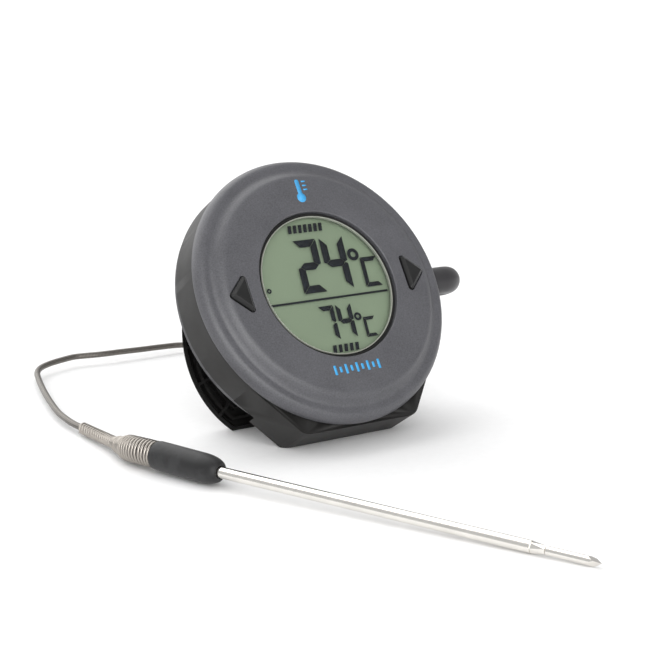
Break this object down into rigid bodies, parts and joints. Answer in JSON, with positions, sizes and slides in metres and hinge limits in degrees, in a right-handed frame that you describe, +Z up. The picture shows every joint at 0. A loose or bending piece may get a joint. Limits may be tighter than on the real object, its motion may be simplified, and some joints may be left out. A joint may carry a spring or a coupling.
{
  "type": "leave-in probe meat thermometer",
  "caption": "Round digital meat thermometer with a window, two arrow buttons and a fold-out ribbed stand, and a steel probe on a braided cable.",
  "frame": {"origin": "middle of the flat land under the foot, on the surface the unit stands on", "axes": "+X to the right of someone reading the display, +Y behind the unit, +Z up"},
  "size_m": [0.1294, 0.2557, 0.0782],
  "materials": {
    "front_shell": "moulded, fine satin grain",
    "window_trim": "silvery",
    "window_lens": "clear",
    "lcd_glass": "reflective LCD",
    "light_guide": "white diffuser",
    "contact_strip": "conductive elastomer",
    "main_board": "solder mask",
    "black_part": "moulded",
    "nickel": "plated steel",
    "button": "silicone rubber",
    "rear_housing": "soft-touch",
    "rear_cover": "moulded",
    "battery": "printed jacket",
    "stand": "moulded, satin",
    "plug_boot": "overmoulded, matte",
    "cable": "woven stainless braid",
    "cable_coil": "braided cable, coiled",
    "probe_steel": "polished stainless",
    "handle_sleeve": "silicone rubber"
  },
  "bodies": {
    "housing": {"front_shell": "front_shell", "window_trim": "window_trim", "window_lens": "window_lens", "lcd_glass": "lcd_glass", "light_guide": "light_guide", "upper_contact_strip": "contact_strip", "lower_contact_strip": "contact_strip", "main_board": "main_board", "left_tact_switch": "black_part", "right_tact_switch": "black_part", "buzzer": "black_part", "radio_module": "nickel", "rear_housing": "rear_housing", "rear_cover": "rear_cover", "screw_1": "nickel", "screw_2": "nickel", "screw_3": "nickel", "screw_4": "nickel", "battery_tray": "black_part", "battery_1": "battery", "battery_2": "battery", "battery_plate_1": "nickel", "battery_plate_2": "nickel", "battery_spring_1": "nickel", "battery_spring_2": "nickel", "power_switch": "black_part", "probe_socket": "black_part", "hinge_pin": "nickel"},
    "stand": {"stand": "stand", "stand_magnet_1": "nickel", "stand_magnet_2": "nickel"},
    "left_button": {"left_button": "button"},
    "right_button": {"right_button": "button"},
    "switch_knob": {"power_switch_knob": "black_part"},
    "battery_door": {"battery_door": "rear_cover"},
    "probe_assembly": {"plug_boot": "plug_boot", "plug_pin": "nickel", "cable_plug_end": "cable", "cable_coil": "cable_coil", "cable_probe_end": "cable", "strain_spring": "probe_steel", "handle_sleeve": "handle_sleeve", "probe_shaft": "probe_steel", "probe_tip": "probe_steel"}
  },
  "joints": [
    {"name": "stand_hinge", "type": "hinge", "parent": "housing", "child": "stand", "pos_m": [0, 0.0418, 0.06208], "axis": [1, 0, 0], "range_deg": [-17.4, 0]},
    {"name": "left_button_press", "type": "slide", "parent": "housing", "child": "left_button", "axis": [0, 0.8517, -0.524], "range_m": [0, 0.0006], "stiffness_N_per_m": 800},
    {"name": "right_button_press", "type": "slide", "parent": "housing", "child": "right_button", "axis": [0, 0.8517, -0.524], "range_m": [0, 0.0006], "stiffness_N_per_m": 800},
    {"name": "power_switch_slide", "type": "slide", "parent": "housing", "child": "switch_knob", "axis": [1, 0, 0], "range_m": [0, 0.003]},
    {"name": "battery_door_lift", "type": "slide", "parent": "housing", "child": "battery_door", "axis": [0, 0.8517, -0.524], "range_m": [0, 0.005]},
    {"name": "plug_pull", "type": "slide", "parent": "housing", "child": "probe_assembly", "axis": [1, 0, 0], "range_m": [0, 0.01]}
  ]
}
